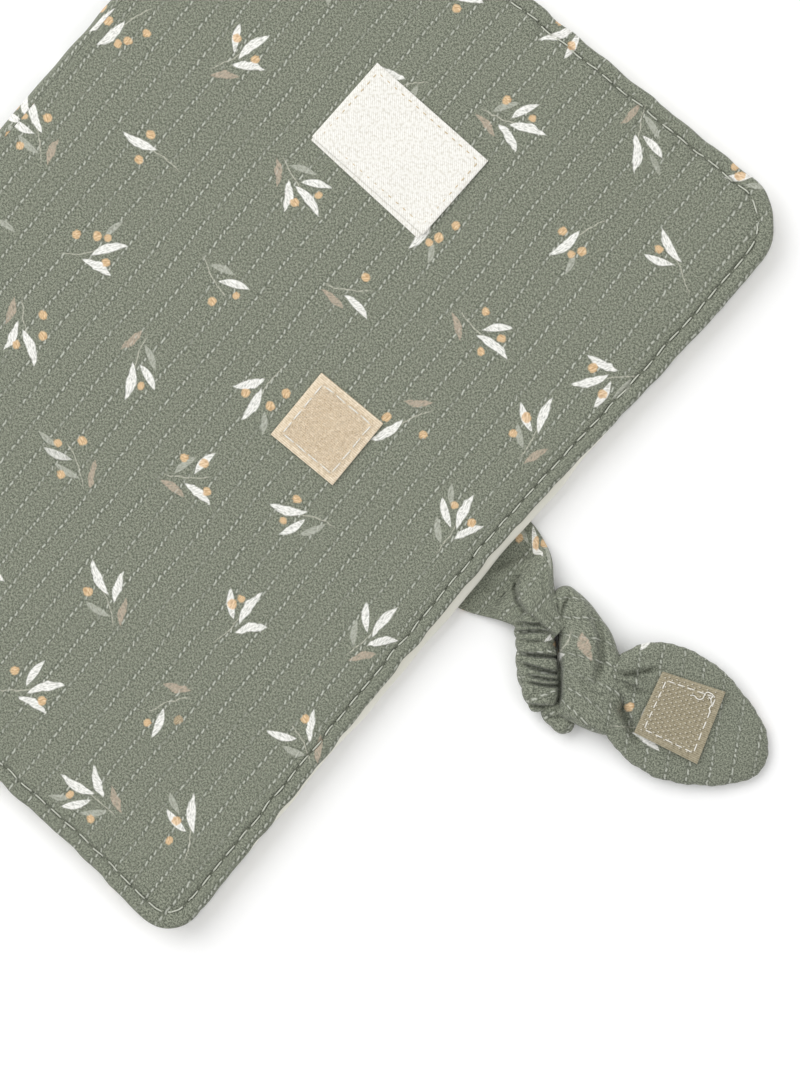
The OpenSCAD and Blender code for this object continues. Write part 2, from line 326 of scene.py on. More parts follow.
def sprigs(f, x, y, ground):
    """The ground colour with the print over it."""
    wobble = f.noise(f.join(x * 0.35, y * 0.35), 1.0, 2.0)
    column = (x / CELL_X).math("FLOOR")
    shifted = y / CELL_Y + column * 0.5
    row = shifted.math("FLOOR")
    seat = f.join(column, row, 3.0)
    chance = f.node("TexWhiteNoise", {"noise_dimensions": "3D"}, Vector=seat)
    more = f.node("TexWhiteNoise", {"noise_dimensions": "3D"}, Vector=f.join(row, column, 8.0))
    dx = ((x / CELL_X).math("FRACT") - 0.5) * CELL_X - (chance * 7.0 - 3.5)
    dy = (shifted.math("FRACT") - 0.5) * CELL_Y - (more * 8.0 - 4.0)
    angle = (chance * 5.7 + more * 3.1) * 2.0
    c, s = angle.math("COSINE"), angle.math("SINE")
    px = dx * c + dy * s + (wobble - 0.5) * 1.3
    py = dy * c - dx * s + (wobble - 0.5) * 1.1
    brush = f.noise(f.join(px * 0.9, py * 3.4), 1.0, 4.0)
    colour = ground
    stem_line = (py - px * px * 0.02 - 0.2).math("ABSOLUTE").below(0.14, 0.2)
    stem = stem_line * (px + 1.0).math("ABSOLUTE").below(5.5, 1.0) * brush.above(0.44, 0.2)
    colour = f.mix(stem * 0.75, colour, rgb(INKS["stem"]))
    for number, (cx, cy, turn, length, width, ink, share) in enumerate(LEAVES):
        ca, sa = math.cos(math.radians(turn)), math.sin(math.radians(turn))
        qx = px * ca + py * sa - (cx * ca + cy * sa)
        qy = py * ca - px * sa - (cy * ca - cx * sa) + qx * qx * 0.03
        form = qy.math("ABSOLUTE") * (2 / width) + qx * qx * (4 / length ** 2)
        body = form.below(0.96, 0.24)
        vein = qy.math("ABSOLUTE").above(0.08, 0.14) * 0.16 + 0.84
        draw = f.node("TexWhiteNoise", {"noise_dimensions": "4D"}, Vector=seat, W=number + 0.5)
        fade = brush * 2.4 - 0.36 if ink == "white" else brush * 2.2 - 0.5
        cover = (body * vein * draw.below(share, 0.01) * fade).math("MINIMUM", 1.0, clamp=True)
        colour = f.mix(cover, colour, rgb(INKS[ink]))
    for number, (cx, cy, radius, share) in enumerate(BERRIES):
        ax, ay = px - cx, py - cy
        span = (ax * ax + ay * ay).math("SQRT") + (brush - 0.5) * 0.9
        draw = f.node("TexWhiteNoise", {"noise_dimensions": "4D"}, Vector=seat, W=number + 20.5)
        cover = span.below(radius, 0.3) * draw.below(share, 0.01) * (brush * 0.4 + 0.66)
        skin = f.mix(brush.above(0.5, 0.3), rgb("#c99f70"), rgb("#edd2aa"))
        colour = f.mix(cover.math("MINIMUM", 1.0), colour, skin)
    return colour


# %% The cotton itself
def printed_cotton():
    f = Finish("printed_cotton", "#87897b", roughness=0.9, sheen=0.15)
    x, y = f.cloth()
    relief, tone = weave(f, x, y)
    pale, shade = stripes(f, x, y)
    ground = f.mix(tone.above(0.51, 0.17), rgb("#5a5f52"), rgb("#a0a493"))
    # painted shade: the low places of the weave's relief are darkened
    ground = f.mix(relief.below(0.42, 0.3) * 0.45, ground, rgb("#5d6154"))
    ground = f.mix(shade * 0.42, ground, rgb("#4d5146"))
    ground = f.mix(pale * 0.86, ground, rgb("#ced1c5"))
    colour = sprigs(f, x, y, ground)
    height = relief * 0.5 + pale * 0.8 + tone * 0.5 - shade * 0.5
    return f.paint(colour, height, depth=0.16, roughness=tone * 0.2 + 0.75)


COTTON = printed_cotton()
print("printed cotton has", len(COTTON.node_tree.nodes), "nodes")

# %% [markdown]
# ## The other finishes
# The lining is smooth cotton with a thin coating, so it is a little glossy. The label is a cream
# twill, the patches are tapes, and all the threads are spun yarn. Each is a short recipe of the
# same kind: a tone, a relief and a roughness.

# %% Lining and threads
def lining():
    f = Finish("waterproof_lining", "#dedccf", roughness=0.5)
    x, y = f.cloth()
    yarns = (x * 18.0).math("SINE") * (y * 18.0).math("SINE") * 0.25 + 0.5
    patch = f.noise(f.join(x * 0.05, y * 0.05), 1.0, 3.0)
    colour = f.mix(patch, rgb("#e2e0d3"), rgb("#f0eee4"))
    return f.paint(colour, yarns + patch, depth=0.05, roughness=patch * 0.2 + 0.42)


def yarn(name, dark, light):
    f = Finish(name, light, roughness=0.8)
    place = f.node("TexCoord", output=3)
    fibres = f.node("TexNoise", Vector=place, Scale=5200.0, Detail=2.0)
    return f.paint(f.mix(fibres, rgb(dark), rgb(light)), fibres, depth=0.08)


LINING = lining()
SAGE_THREAD = yarn("sage_thread", "#a3a698", "#dcdfd2")
TAN_THREAD = yarn("tan_thread", "#b9a37d", "#dccba9")
WHITE_THREAD = yarn("white_thread", "#d9d4c8", "#fbfaf5")


# %% Label twill and tapes
def label_cotton():
    f = Finish("label_cotton", "#efece1", roughness=0.9)
    x, y = f.cloth()
    twill = ((x + y) * 9.0).math("SINE") * 0.5 + 0.5
    specks = f.noise(f.join(x * 1.4, y * 1.4), 1.0, 3.0)
    colour = f.mix(twill * 0.35 + specks.below(0.44, 0.2) * 0.6, rgb("#f7f6f1"), rgb("#d5d1c5"))
    return f.paint(colour, twill + specks, depth=0.08)


def tape(name, dark, light, ribs):
    f = Finish(name, light, roughness=0.85, sheen=0.2)
    x, y = f.cloth()
    rib = (y * ribs).math("SINE") * 0.5 + 0.5
    fuzz = f.noise(f.join(x * 1.3, y * 1.3), 1.0, 4.0)
    colour = f.mix((rib * 0.45 + fuzz.above(0.5, 0.4) * 0.65).math("MINIMUM", 1.0), rgb(dark), rgb(light))
    return f.paint(colour, rib * 0.6 + fuzz, depth=0.15)


LABEL = label_cotton()
LOOP_TAPE = tape("loop_tape", "#c2ad8b", "#f7e9d3", 12.0)
HOOK_TAPE = tape("hook_tape", "#7b725a", "#bab198", 12.0)
LOOP_PILE = yarn("loop_pile", "#cfb994", "#fff6e6")
HOOK_NYLON = yarn("hook_nylon", "#b5ad97", "#e6e1d2")
FLOOR_WHITE = Finish("white_table", "#ffffff", roughness=0.9).material
floor.data.materials.append(FLOOR_WHITE)
print(len(bpy.data.materials), "materials")

# %% [markdown]
# ## Turning rows of points into a mesh
# Soft pieces are easiest to shape as a sheet of points in rows, because the cloth's own
# coordinates follow the same rows. One helper joins such sheets into a closed mesh, merges the
# points that meet at a seam, turns all faces outwards and writes the cloth's coordinates.

# %% Soft mesh from sheets of points
def waves(seed, count=9, low=0.02, high=0.12):
    """A smooth uneven surface: a sum of waves, the same on every run."""
    rng = np.random.default_rng(seed)
    turn = rng.uniform(0, 2 * np.pi, count)
    size = rng.uniform(low, high, count)
    phase = rng.uniform(0, 2 * np.pi, count)

    def height(x, y=0.0):
        total = 0.0
        for t, k, p in zip(turn, size, phase):
            total = total + np.sin((x * np.cos(t) + y * np.sin(t)) * k * 2 * np.pi + p)
        return total / math.sqrt(count)
    return height


def sheet_faces(rows, columns, first, closed=False):
    """Faces of a sheet of points. A closed sheet's last column meets its first."""
    r = np.arange(rows - 1)[:, None]
    c = np.arange(columns if closed else columns - 1)[None, :]
    right = (c + 1) % columns
    corner = first + r * columns
    return np.stack([corner + c, corner + right, corner + columns + right,
                     corner + columns + c], axis=-1).reshape(-1, 4)


def soft_mesh(name, sheets, materials, merge=0.02):
    """sheets: points (rows, columns, 3), cloth (rows, columns, 2), material, closed or not."""
    points, cloth, faces, slots = [], [], [], []
    count = 0
    for spots, uv, slot, closed in sheets:
        rows, columns = spots.shape[:2]
        points.append(spots.reshape(-1, 3))
        cloth.append(uv.reshape(-1, 2))
        new = sheet_faces(rows, columns, count, closed)
        faces.append(new)
        slots.append(np.full(len(new), slot))
        count += rows * columns
    points, cloth = np.concatenate(points) * MM, np.concatenate(cloth) * MM
    faces, slots = np.concatenate(faces), np.concatenate(slots)
    mesh = bpy.data.meshes.new(name)
    mesh.from_pydata(points.tolist(), [], faces.tolist())
    layer = mesh.uv_layers.new(name="cloth")
    layer.data.foreach_set("uv", cloth[faces.reshape(-1)].reshape(-1).astype(np.float32))
    for material in materials:
        mesh.materials.append(material)
    mesh.polygons.foreach_set("material_index", slots.astype(np.int32))
    piece = bpy.data.objects.new(name, mesh)
    scene.collection.objects.link(piece)
    close_up(piece, merge)
    mesh.polygons.foreach_set("use_smooth", [True] * len(mesh.polygons))
    return piece


def pick(piece):
    bpy.ops.object.select_all(action="DESELECT")
    piece.select_set(True)
    bpy.context.view_layer.objects.active = piece


def close_up(piece, merge):
    """Merges the points that meet, and turns every face outwards."""
    pick(piece)
    bpy.ops.object.mode_set(mode="EDIT")
    bpy.ops.mesh.select_all(action="SELECT")
    bpy.ops.mesh.remove_doubles(threshold=merge * MM)
    bpy.ops.mesh.normals_make_consistent(inside=False)
    bpy.ops.object.mode_set(mode="OBJECT")


# %% [markdown]
# ## The shape of a sewn panel
# A panel is cut as a rectangle with rounded corners, sewn round three sides, turned right side
# out, and topstitched close to the edge. That gives it a thin rolled rim, a sunk line where the
# thread pulls it tight, small puckers at every stitch, and a soft crown inside. All of these
# depend on one number, the distance from the sewn edge, so the next cell works that out.

# %% Distance from the sewn edge, and place along it
def smooth(t):
    t = np.clip(t, 0, 1)
    return t * t * (3 - 2 * t)


def corner_fit(x, y):
    """Bends a square grid of points into the rounded corners of a panel's free end."""
    for side, r in ((1, LABEL_R), (-1, PLAIN_R)):
        p = (x - (FREE - r)) / r
        q = (side * y - (HALF_END - r)) / r
        inside = (p > 0) & (q > 0)
        a, b = np.where(inside, p, 0), np.where(inside, q, 0)
        x = np.where(inside, FREE - r + r * a * np.sqrt(1 - b * b / 2), x)
        y = np.where(inside, side * (HALF_END - r + r * b * np.sqrt(1 - a * a / 2)), y)
    return x, y


def edge_of(x, y):
    """Distance to the sewn edge, distance along it from the fold, and the way out of it."""
    depth = np.full(x.shape, 1e9)
    along, out_x, out_y = np.zeros(x.shape), np.zeros(x.shape), np.zeros(x.shape)
    for side, r in ((1, LABEL_R), (-1, PLAIN_R)):
        cx, cy = FREE - r, side * (HALF_END - r)
        reach = np.hypot(x - cx, y - cy)
        corner = (x > cx) & (side * (y - cy) > 0)
        bend = np.arctan2(np.maximum(x - cx, 0), np.abs(y - cy) + 1e-9)
        arc = (r - STITCH_INSET) * bend
        spots = ((HALF_END - side * y, x - LEFT, 0 * x, side + 0 * y, x <= cx),
                 (r - reach, cx - LEFT + arc, (x - cx) / (reach + 1e-9),
                  (y - cy) / (reach + 1e-9), corner))
        for far, run, nx, ny, here in spots:
            closer = here & (far < depth)
            depth = np.where(closer, far, depth)
            place = run if side > 0 else -run
            along = np.where(closer, place, along)
            out_x, out_y = np.where(closer, nx, out_x), np.where(closer, ny, out_y)
    straight = (y < HALF_END - LABEL_R) & (y > PLAIN_R - HALF_END) & (FREE - x < depth)
    depth = np.where(straight, FREE - x, depth)
    start = FREE - LABEL_R - LEFT + (LABEL_R - STITCH_INSET) * math.pi / 2
    along = np.where(straight, start + HALF_END - LABEL_R - y, along)
    out_x, out_y = np.where(straight, 1.0, out_x), np.where(straight, 0.0, out_y)
    return depth, along, out_x, out_y


# distances of the grid lines from a sewn edge, closest at the rim and at the stitch line
EDGE_STEPS = [0, 0.12, 0.42, 0.9, 1.5, 2.1, 2.65, 3.05, 3.3, 3.5, 3.7, 3.9, 4.2, 4.7, 5.6, 6.8, 8.0, 9.4]


def grid_line(low, high, step, low_sewn, high_sewn):
    """Places of grid lines from low to high, closer together near a sewn edge."""
    steps = np.array(EDGE_STEPS)
    left = low + steps if low_sewn else np.array([low])
    right = high - steps[::-1] if high_sewn else np.array([high])
    count = max(2, round((right[0] - left[-1]) / step))
    return np.concatenate([left, np.linspace(left[-1], right[0], count + 1)[1:-1], right])


print("edge steps", len(EDGE_STEPS), "and the seam is", round(2 * (FREE - LEFT) + 2 * HALF_END), "mm long")

# %% [markdown]
# ## The two end panels
# The back panel lies on the table with its print down, and the front flap lies on top with its
# print up. They have the same pattern piece. The flap's free edge pulls in a little in its middle
# and flares at the corners, because the corners are stiff with folded seam.

# %% End panels: outline, rim, stitch line, crown
# material slots of the two cloths, and the gap from a panel to the fold line
PRINTED, LINED = 0, 1
FOLD_GAP = 0.02
# the row of points at each fold, with the cloth that is on the outside of that fold
LEFT_WALL, INNER_WALL = (0, PRINTED), (-1, LINED)
# how far the flap's free edge stands out of the straight line, along Y
EDGE_Y = [-118, -100, -67, -30, 7, 30, 60, 90, 118]
EDGE_OUT = [0.9, 0.7, -0.2, -1.1, -1.6, -0.8, 1.0, 2.2, 2.0]


def end_panel_shape(flat_x, flat_y, low_z, high_z, seed):
    """Where a point of the flat pattern lies, and the height of the printed and lined faces."""
    depth, along, out_x, out_y = edge_of(flat_x, flat_y)
    depth = np.maximum(depth, 0)
    ripple = waves(seed, 9, 0.05, 0.16)
    slow = waves(seed + 1, 7, 0.006, 0.02)
    wrinkle = waves(seed + 2, 8, 0.012, 0.035)
    beat = np.cos(along / STITCH_PITCH * 2 * np.pi) * (0.6 + 0.5 * ripple(along * 0.6 + 9))
    pull = out_x * np.interp(flat_y, EDGE_Y, EDGE_OUT)
    pull = pull + np.abs(out_y) * np.where(flat_y > 0, 0.2, 1.6) * smooth((flat_x - 45) / 30)
    shift = (0.05 * beat + 0.15 * ripple(along) + pull) * np.exp(-(depth / 7) ** 2)
    x = flat_x + out_x * shift
    taper = HALF_FOLD + (HALF_END - HALF_FOLD) * (flat_x - LEFT) / (FREE - LEFT)
    y = (flat_y + out_y * shift) * taper / HALF_END
    half = (high_z - low_z) / 2
    rim = np.sqrt(1 - (1 - np.clip(depth / 1.5, 0, 1)) ** 2) * half
    groove = np.exp(-((depth - STITCH_INSET - 0.1) / 0.36) ** 2)
    puff = np.exp(-((depth - 1.6) / 1.1) ** 2)
    inner = smooth((depth - 3.8) / 6.0) * smooth((flat_x - LEFT) / 12)
    relief = -1.35 * groove * (0.8 - 0.2 * beat) - 0.1 * puff * (beat + 0.8 * ripple(along * 1.3))
    drag = np.sin(along * 0.9 + 2.5 * slow(flat_x * 3, flat_y * 3)) * ripple(along * 0.35 + 40)
    relief = relief + 0.22 * (ripple(along) + drag) * np.exp(-((depth - 5.4) / 2.6) ** 2)
    crown = inner * (0.42 + 0.2 * slow(flat_x, flat_y) + 0.13 * wrinkle(flat_x, flat_y))
    return x, y, rim + relief + crown, rim - 0.3 * groove


def end_panel(panel, step):
    low_z, high_z = FACES[panel]
    xs = grid_line(LEFT + FOLD_GAP, FREE, step, False, True)
    ys = grid_line(-HALF_END, HALF_END, step, True, True)
    flat_x, flat_y = corner_fit(*np.meshgrid(xs, ys, indexing="ij"))
    x, y, printed, lined = end_panel_shape(flat_x, flat_y, low_z, high_z, SEEDS[panel])
    if panel == "back":
        # it lies flat on the table, so its printed side has no crown
        printed = np.minimum(printed, (high_z - low_z) / 2)
    return panel_mesh(panel, x, y, printed, lined, flat_x, flat_y, (LEFT_WALL,))


def panel_mesh(panel, x, y, printed, lined, flat_x, flat_y, walls):
    """Upper and lower faces, and a narrow wall at each end that runs on into a fold."""
    middle_z = sum(FACES[panel]) / 2
    up, down = (printed, lined) if PRINT_UP[panel] else (lined, printed)
    uv = np.stack([cloth_along(flat_x, panel), flat_y], axis=-1)
    upper = np.stack([x, y, middle_z + up], axis=-1)
    lower = np.stack([x, y, middle_z - down], axis=-1)
    slots = (PRINTED, LINED) if PRINT_UP[panel] else (LINED, PRINTED)
    sheets = [(upper, uv, slots[0], False), (lower, uv, slots[1], False)]
    sheets += [(np.stack([upper[row], lower[row]]), np.stack([uv[row]] * 2), slot, False)
               for row, slot in walls]
    return soft_mesh(panel + "_panel", sheets, [COTTON, LINING])


def cloth_along(x, panel):
    """Distance along the whole unfolded pad, so that the print runs on from panel to panel."""
    first, second = FREE - LEFT, INNER - LEFT
    return {"back": FREE - x, "second": first + x - LEFT, "third": first + second + INNER - x,
            "front": first + 2 * second + x - LEFT}[panel]


front_panel = end_panel("front", 1.25)
back_panel = end_panel("back", 1.8)
for piece in (front_panel, back_panel):
    print(piece.name, len(piece.data.polygons), "faces")

# %% [markdown]
# ## The two inner panels
# The second and third panels are sewn along two sides only, and run on into a fold at both ends.
# Near the inner fold they narrow a little, so the flap's rounded corners hide them.

# %% Inner panels
def inner_panel_shape(flat_x, flat_y, low_z, high_z, seed):
    depth = HALF_FOLD - np.abs(flat_y)
    ripple = waves(seed, 9, 0.05, 0.15)
    beat = np.cos(flat_x / STITCH_PITCH * 2 * np.pi)
    side = np.sign(flat_y)
    narrow = 4.0 * smooth((flat_x - INNER + 14) / 14)
    pull = (0.08 * beat + 0.25 * ripple(flat_x, side * 40) - narrow) * np.exp(-(depth / 14) ** 2)
    half = (high_z - low_z) / 2
    rim = np.sqrt(1 - (1 - np.clip(depth / 1.5, 0, 1)) ** 2) * half
    groove = np.exp(-((depth - STITCH_INSET) / 0.55) ** 2)
    return flat_x, flat_y + side * pull, rim - 0.55 * groove, rim - 0.3 * groove


def inner_panel(panel, step=2.2):
    low_z, high_z = FACES[panel]
    xs = grid_line(LEFT + FOLD_GAP, INNER - FOLD_GAP, step, False, False)
    ys = grid_line(-HALF_FOLD, HALF_FOLD, step, True, True)
    flat_x, flat_y = np.meshgrid(xs, ys, indexing="ij")
    x, y, printed, lined = inner_panel_shape(flat_x, flat_y, low_z, high_z, SEEDS[panel])
    return panel_mesh(panel, x, y, printed, lined, flat_x, flat_y, (LEFT_WALL, INNER_WALL))


second_panel = inner_panel("second")
third_panel = inner_panel("third")
for piece in (second_panel, third_panel):
    print(piece.name, len(piece.data.polygons), "faces")

for piece, panel, body in ((back_panel, "back", "back_panel"), (second_panel, "second", "second_panel"),
                           (third_panel, "third", "third_panel"), (front_panel, "front", "front_flap")):
    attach(piece, body)
    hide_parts(panel + "_cover", panel + "_wadding", panel + "_lining")

# %% [markdown]
# ## The folds
# At each fold the cloth runs round from one panel to the next. It is a thin bent pillow: half a
# tube of one cloth outside, half a tube of the other inside. When the pad opens it has to turn
# with both panels; here it is made only where it lies in the folded pad.

# %% Folds between the panels
JOINT_NODES = {"unfold": "back_fold", "inner_fold": "inner_fold", "open_flap": "front_fold"}


def fold(name, joint, side, half_length, outer_slot, uv_middle, seed, bulge=0.0):
    """Half a tube round a joint. side is -1 for the folds at the left and 1 for the inner one."""
    fold_x, _, fold_z = joint_mm(joint)
    thin, thick = 0.15, FACES["second"][0] - FACES["back"][0] - 0.15
    ys = np.linspace(-half_length, half_length, 150)
    angles = np.linspace(-90, 90, 21)
    y, angle = np.meshgrid(ys, np.radians(angles), indexing="ij")
    ripple = waves(seed, 9, 0.02, 0.09)
    end = smooth((half_length - np.abs(y)) / 5)
    middle = smooth((96 - np.abs(y + 14)) / 22)
    swell = 1 + (0.1 * ripple(y) * np.cos(angle) + bulge * middle / thick) * np.cos(angle)

    def shell(radius, play):
        r_x = radius * (play * swell + 1 - play) * (0.55 + 0.45 * end)
        r_z = radius * (0.72 + 0.28 * end)
        x = fold_x + side * r_x * np.cos(angle)
        return np.stack([x, y, fold_z + r_z * np.sin(angle)], axis=-1)

    outside, inside = shell(thick, 1.0), shell(thin, 0.0)
    uv = np.stack([uv_middle + thick * angle, y], axis=-1)
    edges = [np.stack([outside[:, i], inside[:, i]]) for i in (0, -1)]
    caps = [np.stack([outside[i], inside[i]]) for i in (0, -1)]
    sheets = [(outside, uv, outer_slot, False), (inside, uv, 1 - outer_slot, False)]
    sheets += [(e, np.stack([uv[:, 0], uv[:, 0]]), outer_slot, False) for e in edges]
    sheets += [(c, np.stack([uv[0], uv[0]]), outer_slot, False) for c in caps]
    piece = soft_mesh(name, sheets, [COTTON, LINING])
    (fold_z - thick) * MM
    (fold_z + thick) * MM
    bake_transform(piece)
    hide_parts(JOINT_NODES[joint] + "_cover", JOINT_NODES[joint] + "_lining")
    return piece


# the inner fold is shorter, as the inner panels narrow towards it
FOLD_HALF, INNER_HALF = HALF_FOLD - 0.4, HALF_FOLD - 4.5
span = FREE - LEFT
back_fold = fold("back_fold", "unfold", -1, FOLD_HALF, PRINTED,
                 span, 91)
inner_fold = fold("inner_fold", "inner_fold", 1, INNER_HALF,
                  LINED, span + INNER - LEFT, 92, bulge=1.1)
front_fold = fold("front_fold", "open_flap", -1, FOLD_HALF, PRINTED,
                  span + 2 * (INNER - LEFT), 93)
print("three folds")

# %% [markdown]
# ## Topstitching
# A sewing machine runs a line of even stitches three and a half millimetres inside the edge. The
# thread is a shade paler than the cloth and sinks into the padding. Each stitch is a short bent
# thread. It is made where it lies, because it has to follow the wrinkled edge. They run on both
# faces of every panel, but not on the back panel's underside, which lies on the table.

# %% One thread, and threads along the stitch lines
STITCH_LENGTH = 3.2
THREAD_RADIUS = 0.21
# points along each stitch, and how far its middle stands over the sunk line and its ends sink
STITCH_POINTS = 7
THREAD_RISE, THREAD_SINK = 0.85, 0.16


def tube(path, radius, around=6):
    """A round thread along a line of points, with closed ends."""
    path = np.asarray(path, float)
    radius = np.full(len(path), float(radius))
    ahead, behind = path[0] - path[1], path[-1] - path[-2]
    path = np.concatenate([[path[0] + ahead * 0.25], path, [path[-1] + behind * 0.25]])
    radius = np.concatenate([[0.0], radius, [0.0]])
    along = np.gradient(path, axis=0)
    along /= np.linalg.norm(along, axis=1)[:, None] + 1e-12
    side = np.cross(along, [0.0, 0.0, 1.0])
    flat = np.linalg.norm(side, axis=1) < 1e-6
    side[flat] = [1.0, 0.0, 0.0]
    side /= np.linalg.norm(side, axis=1)[:, None]
    up = np.cross(side, along)
    turn = np.linspace(0, 2 * np.pi, around, endpoint=False)
    ring = side[:, None] * np.cos(turn)[None, :, None] + up[:, None] * np.sin(turn)[None, :, None]
    return path[:, None] + ring * radius[:, None, None]


def threads(name, paths, radius, material, around=6):
    sheets = []
    for path in paths:
        points = tube(path, radius, around)
        sheets.append((points, points[..., :2], 0, True))
    return soft_mesh(name, sheets, [material], merge=0.002)


def panel_stitches(panel):
    low_z, high_z = FACES[panel]
    middle_z = (low_z + high_z) / 2
    rng = np.random.default_rng(SEEDS[panel])
    d = STITCH_INSET + 0.1
    if panel in ("front", "back"):
        def arc(side, r):
            turns = np.radians(np.linspace(0, 90, 7))
            return [(FREE - r + (r - d) * math.sin(a), side * (HALF_END - r + (r - d) * math.cos(a)))
                    for a in turns]
        line = [(LEFT + 1, HALF_END - d), *arc(1, LABEL_R), *reversed(arc(-1, PLAIN_R)),
                (LEFT + 1, d - HALF_END)]
        shape, lines = end_panel_shape, [line]
    else:
        shape = inner_panel_shape
        lines = [[(LEFT + 1, s * (HALF_FOLD - d)), (INNER - 1, s * (HALF_FOLD - d))] for s in (1, -1)]
    paths = []
    for line in lines:
        steps = np.linalg.norm(np.diff(line, axis=0), axis=1)
        run = np.concatenate([[0], np.cumsum(steps)])
        for start in np.arange(0.4, run[-1] - 4, STITCH_PITCH):
            place = start + np.linspace(0, STITCH_LENGTH, STITCH_POINTS) + rng.uniform(-0.15, 0.15)
            drift = rng.uniform(-0.12, 0.12, 2)
            fx = np.interp(place, run, [p[0] for p in line]) + np.linspace(*drift, STITCH_POINTS)
            fy = np.interp(place, run, [p[1] for p in line]) + np.linspace(*drift[::-1], STITCH_POINTS)
            x, y, printed, lined = shape(fx, fy, low_z, high_z, SEEDS[panel])
            sink = THREAD_SINK * np.abs(np.linspace(-1, 1, STITCH_POINTS)) ** 3
            up, down = (printed, lined) if PRINT_UP[panel] else (lined, printed)
            paths.append(np.stack([x, y, middle_z + up + THREAD_RISE - 2 * sink], axis=-1))
            if panel != "back":
                paths.append(np.stack([x, y, middle_z - down - THREAD_SINK / 2 + sink], axis=-1))
    return threads(panel + "_stitches", paths, THREAD_RADIUS, SAGE_THREAD)


for panel in SEEDS:
    piece = panel_stitches(panel)
    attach(piece, "front_flap" if panel == "front" else panel + "_panel")
    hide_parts(panel + "_topstitch")
    print(piece.name, len(piece.data.polygons), "faces")

# %% [markdown]
# ## Label and loop patch
# Both lie on the flap and are sewn down all round, so they follow its gentle waves. The label is
# a folded piece of cream twill. Its under layer shows along one side, because the fold isn't
# quite straight. The patch is a square of loop tape with a fuzzy face and ribbed woven edges.

# %% A flat plate with rounded edges that follows a surface
def plate(name, size_x, size_y, thick, cuts, material):
    """Made from a plane at its size, cut up, thickened and bevelled, in millimetres at the origin."""
    bpy.ops.mesh.primitive_plane_add(size=1.0)
    piece = bpy.context.object
    piece.name = name
    piece.scale = (size_x * MM, size_y * MM, 1)
    bpy.ops.object.transform_apply(location=False, rotation=False, scale=True)
    bpy.ops.object.mode_set(mode="EDIT")
    bpy.ops.mesh.select_all(action="SELECT")
    bpy.ops.mesh.subdivide(number_cuts=cuts)
    bpy.ops.object.mode_set(mode="OBJECT")
    piece.data.uv_layers[0].name = "cloth"
    for corner in piece.data.uv_layers[0].data:
        corner.uv = (corner.uv[0] * size_x * MM, corner.uv[1] * size_y * MM)
    for kind, settings in (("SOLIDIFY", {"thickness": thick * MM, "offset": 1.0}),
                           ("BEVEL", {"width": thick * 0.3 * MM, "segments": 2,
                                      "limit_method": "ANGLE"})):
        modifier = piece.modifiers.new(kind.lower(), kind)
        for key, value in settings.items():
            setattr(modifier, key, value)
        bpy.ops.object.modifier_apply(modifier=modifier.name)
    piece.data.materials.append(material)
    bpy.ops.object.shade_smooth_by_angle(angle=math.radians(50))
    return piece


def lay(piece, move):
    """Moves every point of a piece: move takes arrays of x, y, z in millimetres."""
    count = len(piece.data.vertices)
    flat = np.empty(count * 3)
    piece.data.vertices.foreach_get("co", flat)
    x, y, z = flat.reshape(-1, 3).T / MM
    piece.data.vertices.foreach_set("co", (np.stack(move(x, y, z), axis=-1) * MM).reshape(-1))
    piece.data.update()
    return piece


def flap_top(x, y):
    """Height of the flap's printed face. x and y are places in the folded pad."""
    flat_y = y * HALF_END / (HALF_FOLD + (HALF_END - HALF_FOLD) * (x - LEFT) / (FREE - LEFT))
    low_z, high_z = FACES["front"]
    _, _, printed, _ = end_panel_shape(x, flat_y, low_z, high_z, SEEDS["front"])
    return (low_z + high_z) / 2 + printed


def on_flap(cx, cy, turn=0.0, lift=0.0, bow=None):
    """A move that lays a piece made at the origin on the flap, at a place and a turn."""
    c, s = math.cos(math.radians(turn)), math.sin(math.radians(turn))

    def move(x, y, z):
        wx, wy = cx + x * c - y * s, cy + x * s + y * c
        extra = bow(x, y) if bow else 0.0
        return wx, wy, flap_top(wx, wy) + z + lift + extra
    return move


# %% Stitches along the sides of a box, on a piece that follows a surface
def corners_of(half_x, half_y):
    return [(-half_x, -half_y), (half_x, -half_y), (half_x, half_y), (-half_x, half_y)]


def stitch_line(corners, pitch):
    """Middle and direction of each stitch along the straight sides of a closed outline."""
    found = []
    corners = [np.array(c, float) for c in corners]
    for a, b in zip(corners, corners[1:] + corners[:1]):
        length = np.linalg.norm(b - a)
        count = max(1, round(length / pitch))
        for i in range(count):
            found.append((a + (b - a) * (i + 0.5) / count, (b - a) / length))
    return found


def flat_stitches(box, pitch, length, move, top, name, material, radius, rng):
    """Stitches round a box of corners, their ends sunk, laid where move puts them."""
    paths = []
    for middle, way in stitch_line(box, pitch):
        t = np.linspace(-0.5, 0.5, STITCH_POINTS)
        tilt = rng.uniform(-0.06, 0.06, 2)
        spots = middle[None] + (way + tilt)[None] * (t * length)[:, None]
        x, y, z = move(spots[:, 0], spots[:, 1], top - 0.35 * (2 * t) ** 4)
        paths.append(np.stack([x, y, z], axis=-1))
    return threads(name, paths, radius, material)


# %% The label, its hem and stitches
label_x, label_y, _ = sum(box_mm("label")) / 2
print("label middle", round(label_x, 1), round(label_y, 1))
LABEL_W, LABEL_H = 36.6, 24.4
LABEL_TURN, LABEL_LIFT = -1.0, 0.25
LABEL_STITCH_INSET = 1.7
label_wave = waves(5, 7, 0.02, 0.06)


def label_bow(x, y):
    """The label's own slow waves, and the thicker folded hems along its long sides."""
    return 0.12 * label_wave(x, y) + 0.15 * np.exp(-((np.abs(y) - 12) / 1.5) ** 2)


